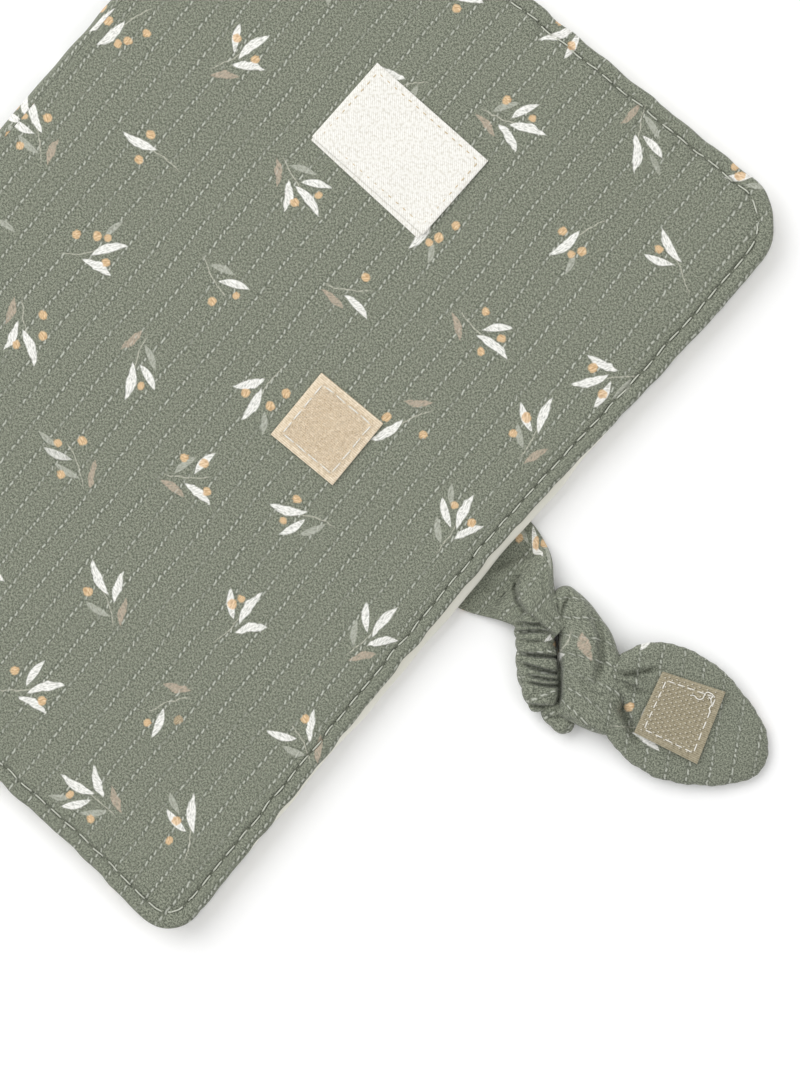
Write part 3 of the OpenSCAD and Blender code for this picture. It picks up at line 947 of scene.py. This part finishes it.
label = lay(plate("woven_label", LABEL_W, LABEL_H, 0.45, 30, LABEL),
            on_flap(label_x, label_y, LABEL_TURN, LABEL_LIFT, label_bow))
hem = lay(plate("woven_label_hem", LABEL_W - 0.8, 4.0, 0.3, 20, LABEL),
          on_flap(label_x - 0.2, label_y - LABEL_H / 2 + 0.9, -2.2, -0.02))
label_box = corners_of(LABEL_W / 2 - LABEL_STITCH_INSET, LABEL_H / 2 - LABEL_STITCH_INSET)
label_move = on_flap(label_x, label_y, LABEL_TURN, LABEL_LIFT)
label_stitches = flat_stitches(label_box, 2.4, 1.1, label_move, 0.5, "woven_label_stitches",
                               TAN_THREAD, 0.12, np.random.default_rng(3))

# %% The loop patch, its pile and stitches
patch_x, patch_y, _ = sum(box_mm("loop_patch")) / 2
SIDE = 20.0
loop_move = on_flap(patch_x, patch_y, 1.0, 0.2)
loop_patch = lay(plate("loop_tape_patch", SIDE - 0.2, SIDE - 0.2, 0.6, 24, LOOP_TAPE), loop_move)
# half the side of the box of stitches on each patch
inset = SIDE / 2 - 2.2
patch_box = corners_of(inset, inset)
loop_stitches = flat_stitches(patch_box, 3.6, 3.25, loop_move, 0.78, "loop_tape_stitches", WHITE_THREAD,
                              0.2, np.random.default_rng(4))


def pile(seed, rows):
    """Small crooked loops all over the face of the tape, inside the woven edges."""
    rng = np.random.default_rng(seed)
    paths = []
    for i in range(rows):
        for j in range(rows):
            x, y = ((np.array([i, j]) + rng.uniform(0.1, 0.9, 2)) / rows - 0.5) * (SIDE - 3.0)
            if x < -inset - 0.4:
                continue
            turn, width = rng.uniform(0, np.pi), rng.uniform(0.25, 0.55)
            arc = np.linspace(0, np.pi, 6)
            out = np.cos(arc) * width
            px, py = x + out * math.cos(turn), y + out * math.sin(turn)
            z = 0.6 + np.sin(arc) * rng.uniform(0.15, 0.45)
            paths.append(np.stack(loop_move(px, py, z), axis=-1))
    return paths


loop_pile = threads("loop_tape_pile", pile(6, 30), 0.075, LOOP_PILE, around=4)
for piece, nodes, kind in ((label, ["label"], "label_cotton"), (hem, [], "label_cotton"),
                           (label_stitches, ["label_stitches"], "tan_thread"),
                           (loop_patch, ["loop_patch"], "loop_tape"),
                           (loop_stitches, ["loop_patch_stitches"], "white_thread"),
                           (loop_pile, [], "loop_tape")):
    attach(piece, "front_flap")
    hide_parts(*nodes)
    print(piece.name, len(piece.data.polygons), "faces")

# %% [markdown]
# ## Creases
# On the tab the cloth is gathered and tied, so it is full of folds. A fold is a line in the plan:
# the surface sinks along it, and stands up a little on one side, where the cloth laps over.

# %% A crease along a line
def crease(x, y, line, width, depth, lip=0.0):
    """Change of height near a line of points, as a sunk line with a raised lip to its left."""
    line = np.asarray(line, float)
    near, signed, place = np.full(x.shape, 1e9), np.zeros(x.shape), np.zeros(x.shape)
    count = len(line) - 1
    for i, (a, b) in enumerate(zip(line, line[1:])):
        way = (b - a) / np.linalg.norm(b - a)
        t = np.clip(((x - a[0]) * way[0] + (y - a[1]) * way[1]) / np.linalg.norm(b - a), 0, 1)
        dx, dy = x - a[0] - (b - a)[0] * t, y - a[1] - (b - a)[1] * t
        far = np.hypot(dx, dy)
        closer = far < near
        near = np.where(closer, far, near)
        signed = np.where(closer, np.sign(way[0] * dy - way[1] * dx) * far, signed)
        place = np.where(closer, (i + t) / count, place)
    ends = smooth(place / 0.25) * smooth((1 - place) / 0.25) * 0.8 + 0.2
    valley = -depth * np.exp(-(near / width) ** 2)
    return (valley + lip * np.exp(-((signed - 1.6 * width) / (1.5 * width)) ** 2)) * ends


# %% [markdown]
# ## The strap
# The strap is a turned tube of cotton with a little wadding, sewn into the back panel's seam. It
# leaves the seam flat and wide, rises, and gathers into the knot. It crosses two joints, so it is
# made in two lengths that overlap a little: the first runs from the seam, the second into the knot.

# %% Strap from the seam to the knot
# places along X, with the strap's two sides, middle height and half thickness at each
STRAP_X = [74, 80, 83, 86.7, 89.5, 91.5, 95, 98, 101.5, 105]
STRAP_HIGH = [17.9, 17.8, 17.4, 16.1, 14.9, 13.4, 9.4, 7.0, 5.6, 4.5]
STRAP_LOW = [-10.6, -10.5, -9.6, -7.9, -6.4, -5.5, -4.4, -3.4, -2.0, -1.0]
STRAP_MID = [1.1, 1.15, 1.3, 2.0, 2.8, 3.4, 4.6, 5.2, 5.4, 5.4]
STRAP_HALF = [0.7, 0.95, 1.3, 1.9, 2.3, 2.7, 3.1, 3.2, 3.0, 2.6]


def eased(x, places, values):
    """Smooth curve through values, by averaging the straight one over a short length."""
    shifts = np.linspace(-1.6, 1.6, 9)
    return sum(np.interp(x + s, places, values) for s in shifts) / len(shifts)


def strap_points(x, turn, shrink=0.0):
    """Points round the strap's section at each x. turn is 0 at +Y and a quarter at the top."""
    high, low = eased(x, STRAP_X, STRAP_HIGH), eased(x, STRAP_X, STRAP_LOW)
    mid, half = eased(x, STRAP_X, STRAP_MID), eased(x, STRAP_X, STRAP_HALF)
    wave = waves(61, 8, 0.03, 0.12)
    across, rise = np.cos(turn), np.sin(turn)
    rise = np.sign(rise) * np.abs(rise) ** 0.8
    y = (high + low) / 2 + (high - low) / 2 * across
    gather = smooth((x - 84) / 12)
    z = rise * (half - shrink) * (1 + 0.16 * wave(x, y))
    fan = np.cos(across * 10 + 1.6) * 0.5 + np.cos(across * 17 + 0.5) * 0.25
    z = z + np.abs(rise) ** 0.5 * np.sign(rise) * fan * gather * 0.85
    top = rise > 0
    deep = crease(x, y, [(87.2, 5.2), (88.4, 2.4), (91, 0.4), (94.5, -0.6), (98.5, -0.4)], 0.55, 2.2)
    deep = deep + crease(x, y, [(81.0, 2.6), (83.1, 7.5), (86.2, 13.2)], 0.9, 1.6, -1.2)
    deep = deep + crease(x, y, [(88.4, 10.6), (87.0, 6.5), (87.8, 2.7)], 1.2, 0.8, 0.5)
    deep = deep + crease(x, y, [(80.5, -2.8), (84.5, -1.2), (88.5, 0.0)], 1.0, 0.9, -0.5)
    deep = deep + crease(x, y, [(84.5, -6.4), (89.0, -4.6), (93.5, -3.2)], 0.5, 0.8, 0.4)
    deep = deep + crease(x, y, [(90.5, 11.0), (93.5, 7.6), (97.0, 4.0)], 0.6, 0.9, 0.4)
    lap = np.interp(x, [86.5, 87.2, 88.4, 91, 94.5, 98.5], [5.6, 5.2, 2.4, 0.4, -0.6, -0.4])
    deep = deep + 2.6 * smooth((y - lap) / 1.0) * smooth((x - 85.6) / 3.2)
    deep = deep - 0.7 * smooth((lap - y) / 1.2) * smooth((y + 5.0) / 3.0) * smooth((x - 84) / 3)
    z = mid + z + np.where(top, deep * np.abs(rise) ** 0.5, -0.3 * deep)
    return np.stack([x, y, np.maximum(z, 0.05)], axis=-1)


def strap_length(name, start, end, step, shrink=0.0):
    xs = np.linspace(start, end, max(4, round((end - start) / step)))
    turn = np.linspace(-np.pi / 2, 1.5 * np.pi, 111)
    x, angle = np.meshgrid(xs, turn, indexing="ij")
    points = strap_points(x, angle, shrink)
    gap = np.linalg.norm(np.diff(points, axis=1, prepend=points[:, :1]), axis=-1)
    around = np.cumsum(gap, axis=1)
    # the strap is cut from another part of the cloth, so its print starts elsewhere
    uv = np.stack([311 + x, around + 14], axis=-1)
    caps = []
    for i in (0, -1):
        centre = points[i].mean(axis=0)
        rings = [points[i] + (centre - points[i]) * t for t in (0.0, 0.5, 1.0)]
        caps.append((np.stack(rings), np.stack([uv[i]] * 3), 0, False))
    piece = soft_mesh(name, [(points, uv, 0, False), *caps], [COTTON], merge=0.004)
    pick(piece)
    bpy.ops.object.shade_smooth_by_angle(angle=math.radians(72))
    return piece


strap_start = strap_length("strap_at_seam", 75.5, 87.6, 0.35, 0.03)
strap_end = strap_length("strap_at_knot", 87.0, 103.5, 0.25)
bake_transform(strap_start)
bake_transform(strap_end)
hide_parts("tab_root")
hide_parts("tab_strap")
for piece in (strap_start, strap_end):
    print(piece.name, len(piece.data.polygons), "faces")

# %% [markdown]
# ## The knot
# The tube is tied once. Seen from above, a wide smooth band runs over the front, and beside it
# the other turn shows as a bundle pressed into narrow pleats. A short tail comes out past the
# bundle, and a small tuck of cloth shows at the band's top. Each of the four is a roll along a
# line, with its own width and height, because only the outside of a tied knot can be seen.

# %% Rolls of gathered cloth
def roll(name, spine, seed, pleats, creases=(), pitch=2.4, rows=170, columns=120, uv_start=0.0,
         square=0.85, lean=0.0):
    """spine: rows of x, y, z, half width, half height. pleats is their depth in millimetres."""
    spine = np.asarray(spine, float)
    far = np.concatenate([[0], np.cumsum(np.linalg.norm(np.diff(spine[:, :2], axis=0), axis=1))])
    place = np.linspace(0, far[-1], rows)
    blur = np.linspace(-far[-1] * 0.09, far[-1] * 0.09, 11)
    curve = np.stack([sum(np.interp(place + b, far, spine[:, k]) for b in blur) / 11
                      for k in range(5)], axis=-1)
    end = np.minimum(place, far[-1] - place)
    round_end = np.sqrt(1 - (1 - np.clip(end / 2.6, 0, 1)) ** 2)
    way = np.gradient(curve[:, :2], axis=0)
    way /= np.linalg.norm(way, axis=1)[:, None]
    turn = np.linspace(-np.pi / 2, 1.5 * np.pi, columns)
    s, angle = np.meshgrid(place, turn, indexing="ij")
    wave, wander = waves(seed, 9, 0.03, 0.14), waves(seed + 1, 7, 0.03, 0.1)
    bend = s + 0.9 * wander(s * 0.6, angle * 3) + 0.7 * np.sin(angle + 0.6)
    ridge = np.abs(np.sin(bend * np.pi / pitch + 0.6 * wander(s, angle * 2))) ** 0.7
    size = 1 + 0.045 * wave(s, angle * 5)
    out = (ridge - 0.7) * pleats
    ca, sa = np.cos(angle), np.sin(angle)
    section = (np.abs(ca) ** (2 / square) + np.abs(sa) ** (2 / square)) ** (-square / 2)
    across = ca * section * (curve[:, 3:4] * size + out) * round_end[:, None]
    up = sa * section * (curve[:, 4:5] * size + out) * round_end[:, None]
    x = curve[:, 0:1] - way[:, 1:2] * across
    y = curve[:, 1:2] + way[:, 0:1] * across
    z = curve[:, 2:3] + up
    for line, width, depth, lip in creases:
        z = z + np.where(sa > 0, crease(x, y, line, width, depth, lip), 0)
    around = (angle - np.pi / 2) / (2 * np.pi) * 2.6 * (curve[:, 3:4] + curve[:, 4:5])
    uv = np.stack([uv_start + s + lean * around, around + 11], axis=-1)
    piece = soft_mesh(name, [(np.stack([x, y, z], axis=-1), uv, 0, False)], [COTTON], merge=0.004)
    print(piece.name, len(piece.data.polygons), "faces")
    return piece


# each crease: points from end to end, width, depth, and the lip's height
BETWEEN = ([(94.4, 9.0), (99.2, 5.0), (103.2, 1.1), (110.2, -5.9), (114.0, -10.5), (116.6, -15.6)], 0.52,
           3.8, 0.0)
BAND_CREASES = [([(105.0, 11.0), (111.6, 7.6), (116.0, 2.9), (119.2, -3.4)], 0.95, 2.5, -0.6),
                ([(99.6, 10.4), (100.3, 6.9), (102.4, 3.4)], 0.45, 1.4, 0.5),
                ([(114.3, -3.3), (118.1, -4.9), (122.6, -4.3)], 0.8, 0.9, 0.5),
                ([(113.5, -11.5), (117.5, -13.2), (122.5, -12.6)], 0.7, 1.1, 0.5), BETWEEN]
BUNDLE_CREASES = [([(92.6, -4.9), (97.7, -1.2), (102.2, 3.4)], 0.42, 2.3, 0.7),
                  ([(94.6, -6.2), (99.1, -2.1), (103.6, 1.4)], 0.38, 1.9, 0.5),
                  ([(99.0, -9.4), (104.6, -5.4), (108.5, -2.8)], 0.46, 2.8, 0.8),
                  ([(100.6, -11.0), (106.9, -8.2), (111.6, -5.8)], 0.46, 2.9, 0.8),
                  ([(104.6, -11.8), (108.9, -9.4), (112.0, -7.0)], 0.36, 2.1, 0.5),
                  ([(105.0, -13.6), (110.2, -10.3), (113.0, -8.0)], 0.38, 2.3, 0.5),
                  ([(108.6, -18.0), (113.2, -14.6), (116.6, -12.6)], 0.46, 2.6, 0.6),
                  ([(96.5, -6.9), (99.6, -4.9), (102.0, -2.9)], 0.36, 1.1, 0.3), BETWEEN]
band = roll("knot_band", [(95.3, 9.4, 5.4, 1.5, 2.2), (97.5, 9.3, 5.9, 2.9, 3.4),
                          (101.5, 7.8, 6.2, 4.5, 4.4), (107.7, 5.2, 6.4, 6.3, 5.0),
                          (112, 2.3, 6.3, 7.6, 5.1), (116, -1, 6.1, 8.6, 4.9),
                          (119.2, -4.4, 5.7, 8.3, 4.6), (121.2, -7.7, 5.3, 8.0, 4.4),
                          (122.4, -10.8, 4.9, 7.7, 4.2), (123.2, -13.9, 4.5, 7.2, 3.8)], 201, 0.14,
            BAND_CREASES, pitch=6.5, uv_start=52, lean=0.7)
bundle = roll("knot_bundle", [(93.6, 0.9, 4.4, 4.2, 2.6), (96.5, -0.4, 4.7, 4.8, 3.6),
                              (99.8, -3.3, 4.9, 5.0, 4.1), (104.5, -7.9, 4.9, 5.3, 4.2),
                              (109.5, -12.0, 4.7, 5.4, 4.0), (113.2, -13.9, 4.4, 4.4, 3.3),
                              (114.8, -14.2, 4.2, 3.4, 2.4)], 221, 0.55, BUNDLE_CREASES, pitch=3.7,
              rows=260, columns=140, uv_start=98)
tail = roll("knot_tail", [(112.4, -13.2, 3.2, 2.6, 2.4), (115.2, -14.6, 3.4, 3.0, 2.7),
                          (118.6, -15.2, 3.4, 2.9, 2.7), (122.0, -14.2, 3.3, 2.4, 2.4)], 231, 0.3,
            [([(113.4, -17.6), (116.0, -15.9), (118.2, -13.5)], 0.4, 1.0, 0.4)],
            rows=70, columns=60, pitch=3.1, uv_start=171)
tuck = roll("knot_tuck", [(94.5, 7.5, 5.4, 1.5, 1.8), (97.0, 6.2, 6.9, 2.0, 2.6),
                          (99.4, 3.6, 7.1, 1.7, 2.5), (101.4, 0.4, 6.6, 1.0, 1.8)], 241, 0.25,
            rows=70, columns=60, pitch=3.0, uv_start=137)
for piece in (band, bundle, tail, tuck):
    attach(piece, "knot_and_leaf")
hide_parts("tab_knot")

# %% [markdown]
# ## The leaf end
# Past the knot the tube opens into a flat padded leaf. It is sewn inside out from two layers and
# turned, so its rim is round and slightly puckered, and it gathers where it enters the knot.

# %% Leaf pillow
LEAF = [(119.2, 8.8), (121.4, 13.6), (124.7, 16.4), (129.2, 18.6), (134.1, 19.9), (141, 20.6),
        (147.9, 19.7), (153.4, 18.5), (159.5, 15.9), (161.7, 13.9), (164.3, 9.3), (164.2, 6.0),
        (162.7, 2.9), (157.9, -2.6), (151.8, -7.2), (144.9, -10.8), (139.2, -11.9), (133.6, -11.4),
        (128.8, -10.3), (123.2, -7.6), (119.5, -3.0), (118.2, 3.0)]
LEAF_CENTRE = np.array([142.0, 4.6])
# height of the leaf's underside where it would start under the knot, its slope, half thickness
START_X, START_Z = 93.5, 9.0
SLOPE = math.tan(math.radians(7))
LEAF_HALF = 1.75
# the dense rows of points at the rim end at this distance from it
RIM_STEPS = np.array([0, 0.15, 0.5, 1.0, 1.7, 2.5, 3.4, 4.4])


def closed_curve(points, count):
    """An even, rounded closed line through points."""
    points = np.asarray(points, float)
    ring = np.concatenate([points, points[:1]])
    run = np.concatenate([[0], np.cumsum(np.linalg.norm(np.diff(ring, axis=0), axis=1))])
    place = np.linspace(0, run[-1], count, endpoint=False)
    blur = np.linspace(-2.6, 2.6, 9)
    spots = [[np.interp((place + b) % run[-1], run, ring[:, k]) for b in blur] for k in (0, 1)]
    line = np.stack([np.mean(s, axis=0) for s in spots], axis=-1)
    return line, place


def leaf_height(x):
    """Height of the leaf's middle layer: it slopes down from the knot to the table."""
    return START_Z - (x - START_X) * SLOPE + LEAF_HALF


def leaf_top(x, y, edge):
    """Half the leaf's thickness above the middle, given the distance from the rim."""
    puff = 1.55 * np.sqrt(1 - (1 - np.clip(edge / 2.2, 0, 1)) ** 2) + 0.55 * smooth((edge - 1.5) / 6)
    wave = waves(301, 9, 0.02, 0.08)
    puff = puff + 0.16 * wave(x, y) * smooth(edge / 3)
    from_knot = np.hypot(x - 121, y - 0.5)
    fan = np.arctan2(y - 0.5, x - 119)
    gather = np.exp(-((from_knot - 2) / 7.5) ** 2)
    swell = 1.1 * np.exp(-((x - 121.5) / 5.5) ** 2) * smooth(edge / 3)
    return puff + swell + gather * 0.75 * np.cos(fan * 9 + 0.8) * smooth(edge / 1.5)


LEAF_CREASES = [([(121.5, 2.6), (123.2, 4.3), (125.6, 7.4), (128.0, 10.6)], 0.6, 2.8, 1.2),
                ([(121.0, 0.6), (125.2, -1.3), (128.5, -3.3), (133.4, -5.4), (138, -7.0)], 0.95, 4.2, 0.0),
                ([(126.0, -8.0), (131.0, -8.7), (136.5, -9.2), (143.0, -8.2)], 0.7, 0.7, -0.4),
                ([(123.4, 2.4), (126.6, 2.9), (130.0, 3.8)], 0.5, 1.4, 0.7),
                ([(124.0, 5.6), (126.4, 6.0), (128.6, 6.0)], 0.45, 1.0, 0.4)]


def leaf_surface(x, y, edge):
    top = leaf_height(x) + leaf_top(x, y, edge)
    for line, width, depth, lip in LEAF_CREASES:
        top = top + crease(x, y, line, width, depth, lip) * smooth(edge / 1.5)
    return top


def leaf_rings():
    rim, run = closed_curve(LEAF, 220)
    wave = waves(311, 9, 0.05, 0.2)
    way = rim - LEAF_CENTRE
    reach = np.linalg.norm(way, axis=1)
    rim = rim + way / reach[:, None] * (0.16 * wave(run) + 0.08 * np.cos(run * 2.1))[:, None]
    rest = np.linspace(0, 1, 26)[1:]
    reach = np.linalg.norm(rim - LEAF_CENTRE, axis=1)
    edge = np.concatenate([np.repeat(RIM_STEPS[:, None], len(rim), axis=1),
                           RIM_STEPS[-1] + rest[:, None] * (reach - RIM_STEPS[-1])[None, :]])
    share = 1 - edge / reach
    spots = LEAF_CENTRE + share[..., None] * (rim - LEAF_CENTRE)
    return spots[..., 0], spots[..., 1], edge


leaf_x, leaf_y, leaf_edge = leaf_rings()
upper = np.stack([leaf_x, leaf_y, leaf_surface(leaf_x, leaf_y, leaf_edge)], axis=-1)
under_z = leaf_height(leaf_x) - leaf_top(leaf_x, leaf_y, leaf_edge) * 0.9
under_z = np.minimum(under_z, upper[..., 2] - 0.6 * smooth(leaf_edge / 1.2))
lower = np.stack([leaf_x, leaf_y, np.maximum(under_z, 0.02)], axis=-1)
turned = math.radians(30)
leaf_uv = np.stack([leaf_x * math.cos(turned) + leaf_y * math.sin(turned) + 160,
                    leaf_y * math.cos(turned) - leaf_x * math.sin(turned) + 40], axis=-1)
leaf = soft_mesh("leaf", [(upper, leaf_uv, 0, True), (lower, leaf_uv + [60, 0], 0, True)], [COTTON],
                 merge=0.004)
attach(leaf, "knot_and_leaf")
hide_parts("tab_leaf", "tab_leaf_wadding")
print(leaf.name, len(leaf.data.polygons), "faces")

# %% [markdown]
# ## The hook patch
# A square of hook tape is sewn on the leaf. It is stiffer than the leaf, so it lies nearly flat
# and one corner stands off the cloth. Its stitching ends in a loose curl of thread.

# %% Hook patch, hooks, stitches and loose thread
# the patch's four corners on the leaf, and its height over the leaf's middle layer
PATCH_RISE = 2.35
PATCH = np.array([[133.6, -5.5], [150.8, -1.3], [144.5, 16.9], [129.2, 10.6]])


def on_leaf(x, y, z):
    """Lays a patch made at the origin on the leaf, corner to corner."""
    u, v = (x / SIDE + 0.5)[:, None], (y / SIDE + 0.5)[:, None]
    spot = (PATCH[0] * (1 - u) * (1 - v) + PATCH[1] * u * (1 - v) + PATCH[2] * u * v
            + PATCH[3] * (1 - u) * v)
    wx, wy = spot[:, 0], spot[:, 1]
    u, v = u[:, 0], v[:, 0]
    base = leaf_height(wx) + PATCH_RISE
    lifted = 1.2 * (1 - u) ** 2 * (1 - v) ** 2 + 0.3 * (1 - u) + 0.5 * smooth((0.25 - v) / 0.25) * (1 - u)
    return wx, wy, base + lifted + z


hook_patch = lay(plate("hook_tape_patch", SIDE, SIDE, 0.55, 24, HOOK_TAPE), on_leaf)
hook_stitches = flat_stitches(patch_box, 2.9, 2.3, on_leaf, 0.66, "hook_tape_stitches", WHITE_THREAD, 0.17,
                              np.random.default_rng(8))


def hooks(seed):
    rng = np.random.default_rng(seed)
    paths = []
    for i, px in enumerate(np.arange(-inset - 0.9, inset + 0.2, 1.2)):
        for py in np.arange(-inset - 0.4, inset + 0.6, 1.5):
            lean = rng.uniform(-0.12, 0.12, 2)
            y0 = py + (0.75 if i % 2 else 0) + lean[1]
            t = np.linspace(0, 1, 5)
            x = px + lean[0] + 0.34 * np.sin(t * 2.6)
            z = 0.5 + 0.42 * np.sin(t * 2.1)
            paths.append(np.stack(on_leaf(x, y0 + 0 * t, z), axis=-1))
    return paths


def curl(points, lift):
    """A loose end of thread through points given on the patch."""
    points = np.asarray(points, float)
    fine = np.linspace(0, len(points) - 1, 9 * len(points))
    blur = np.linspace(-0.5, 0.5, 7)
    x, y = [sum(np.interp(fine + b, range(len(points)), points[:, k]) for b in blur) / 7 for k in (0, 1)]
    z = 0.75 + lift * (0.5 + 0.5 * np.sin(fine * 2.2))
    return np.stack(on_leaf(x, y, z), axis=-1)


hook_grid = threads("hook_tape_hooks", hooks(9), 0.2, HOOK_NYLON, around=5)
loose = [curl([(7.8, 7.6), (5.8, 8.7), (4.2, 8.2), (4.6, 6.4), (3.0, 5.6), (1.6, 6.6), (0.4, 6.0)], 0.5),
         curl([(7.0, 8.2), (6.4, 6.8), (7.8, 6.0), (7.0, 4.6), (8.2, 3.4)], 0.35),
         curl([(5.6, 7.4), (6.8, 7.0), (7.2, 5.8)], 0.3)]
loose_thread = threads("hook_tape_thread_end", loose, 0.14, WHITE_THREAD)
for piece, nodes, kind in ((hook_patch, ["hook_patch"], "hook_tape"), (hook_grid, [], "hook_tape"),
                           (hook_stitches, ["hook_patch_stitches"], "white_thread"),
                           (loose_thread, [], "white_thread")):
    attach(piece, "knot_and_leaf")
    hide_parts(*nodes)
    print(piece.name, len(piece.data.polygons), "faces")
